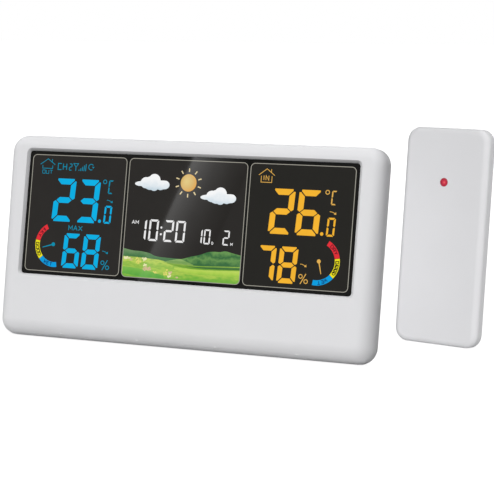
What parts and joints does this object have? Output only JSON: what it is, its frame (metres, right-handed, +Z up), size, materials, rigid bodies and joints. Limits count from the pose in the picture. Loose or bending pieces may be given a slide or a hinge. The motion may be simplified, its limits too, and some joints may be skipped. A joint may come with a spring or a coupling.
{
  "type": "home weather station",
  "caption": "Desk weather station: a wide leaning console with a three-panel colour display and fold-out leg, and a small wireless outdoor sensor standing beside it.",
  "frame": {"origin": "bottom centre of the box round the console and its sensor, on the table top", "axes": "+X to the right along the console's width as seen from the display side, +Y away from the viewer, +Z up"},
  "size_m": [0.224, 0.0906, 0.1007],
  "materials": {
    "front_plastic": "smooth satin white moulding",
    "rear_plastic": "fine spark-eroded texture, white",
    "display_window": "clear acrylic window printed black on its back",
    "lcd_glass": "dark glass with coloured segments",
    "foam_tape": "closed-cell foam or soft elastomer",
    "white_plastic": "plain white moulding",
    "clear_plastic": "clear acrylic light guide",
    "white_sheet": "white film",
    "circuit_board": "glass-fibre board with green mask",
    "led_white": "moulded lamp body",
    "screw_steel": "plated steel",
    "black_resin": "black moulding",
    "tin_metal": "nickel-plated spring steel",
    "copper_wire": "enamelled copper",
    "capacitor_sleeve": "shrunk sleeve",
    "cell_can": "printed sleeve over a metal can",
    "lead_sleeve": "soft wire insulation",
    "soft_rubber": "soft dark rubber",
    "key_plastic": "light grey moulding",
    "red_lens": "tinted moulded lens"
  },
  "bodies": {
    "console": {"front_shell": "front_plastic", "rear_shell": "rear_plastic", "display_lens": "display_window", "lens_gasket": "foam_tape", "lcd_panel": "lcd_glass", "lcd_holder": "white_plastic", "light_guide": "clear_plastic", "reflector_sheet": "white_sheet", "backlight_boards": "circuit_board", "backlight_leds": "led_white", "elastomer_strip": "foam_tape", "main_board": "circuit_board", "board_screws": "screw_steel", "processor": "black_resin", "quartz_crystal": "tin_metal", "radio_module": "circuit_board", "radio_antenna": "copper_wire", "buzzer": "black_resin", "power_socket": "black_resin", "smoothing_capacitor": "capacitor_sleeve", "key_switches": "black_resin", "room_probe": "white_plastic", "battery_springs": "tin_metal", "battery_plates": "tin_metal", "battery_cell_1": "cell_can", "battery_cell_2": "cell_can", "battery_cell_3": "cell_can", "battery_leads": "lead_sleeve", "housing_screws": "screw_steel", "rubber_feet": "soft_rubber"},
    "battery_cover": {"battery_door": "rear_plastic"},
    "leg": {"stand_leg": "rear_plastic", "stand_pad": "soft_rubber"},
    "snooze": {"snooze_key": "key_plastic"},
    "set_key": {"key_set": "key_plastic"},
    "mode_key": {"key_mode": "key_plastic"},
    "memory_key": {"key_memory": "key_plastic"},
    "up_key": {"key_up": "key_plastic"},
    "down_key": {"key_down": "key_plastic"},
    "channel_key": {"key_channel": "key_plastic"},
    "sensor": {"sensor_front": "front_plastic", "sensor_rear": "rear_plastic", "sensor_seal": "foam_tape", "sensor_led_lens": "red_lens", "sensor_board": "circuit_board", "sensor_led": "red_lens", "sensor_radio_chip": "black_resin", "sensor_probe": "white_plastic", "sensor_antenna": "copper_wire", "sensor_cell_1": "cell_can", "sensor_cell_2": "cell_can", "sensor_springs": "tin_metal", "sensor_plates": "tin_metal", "sensor_screws": "screw_steel", "channel_switch": "tin_metal", "pairing_switch": "black_resin"},
    "sensor_cover": {"sensor_battery_door": "rear_plastic"},
    "slider": {"channel_slider": "black_resin"},
    "pairing": {"pairing_button": "key_plastic"}
  },
  "joints": [
    {"name": "leg_fold", "type": "hinge", "parent": "console", "child": "leg", "pos_m": [-0.01699, -0.01206, 0.05813], "axis": [1, 0, 0], "range_deg": [-24, 0]},
    {"name": "battery_cover_hinge", "type": "hinge", "parent": "console", "child": "battery_cover", "pos_m": [-0.07799, -0.00764, 0.06939], "axis": [1, 0, 0], "range_deg": [0, 75]},
    {"name": "snooze_press", "type": "slide", "parent": "console", "child": "snooze", "axis": [0, -0.1908, -0.9816], "range_m": [0, 0.0008], "stiffness_N_per_m": 1000},
    {"name": "set_press", "type": "slide", "parent": "console", "child": "set_key", "axis": [0, -0.9816, 0.1908], "range_m": [0, 0.0008], "stiffness_N_per_m": 1000},
    {"name": "mode_press", "type": "slide", "parent": "console", "child": "mode_key", "axis": [0, -0.9816, 0.1908], "range_m": [0, 0.0008], "stiffness_N_per_m": 1000},
    {"name": "memory_press", "type": "slide", "parent": "console", "child": "memory_key", "axis": [0, -0.9816, 0.1908], "range_m": [0, 0.0008], "stiffness_N_per_m": 1000},
    {"name": "up_press", "type": "slide", "parent": "console", "child": "up_key", "axis": [0, -0.9816, 0.1908], "range_m": [0, 0.0008], "stiffness_N_per_m": 1000},
    {"name": "down_press", "type": "slide", "parent": "console", "child": "down_key", "axis": [0, -0.9816, 0.1908], "range_m": [0, 0.0008], "stiffness_N_per_m": 1000},
    {"name": "channel_press", "type": "slide", "parent": "console", "child": "channel_key", "axis": [0, -0.9816, 0.1908], "range_m": [0, 0.0008], "stiffness_N_per_m": 1000},
    {"name": "sensor_lift", "type": "slide", "parent": "console", "child": "sensor", "axis": [0, 0, 1], "range_m": [0, 0.15]},
    {"name": "sensor_cover_hinge", "type": "hinge", "parent": "sensor", "child": "sensor_cover", "pos_m": [0.09271, 0.04095, 0.07096], "axis": [0.9763, -0.2164, 0], "range_deg": [0, 75]},
    {"name": "channel_slide", "type": "slide", "parent": "sensor", "child": "slider", "axis": [0.9763, -0.2164, 0], "range_m": [-0.002, 0.002]},
    {"name": "pairing_press", "type": "slide", "parent": "sensor", "child": "pairing", "axis": [-0.2153, -0.9709, 0.1045], "range_m": [0, 0.0004], "stiffness_N_per_m": 800}
  ]
}
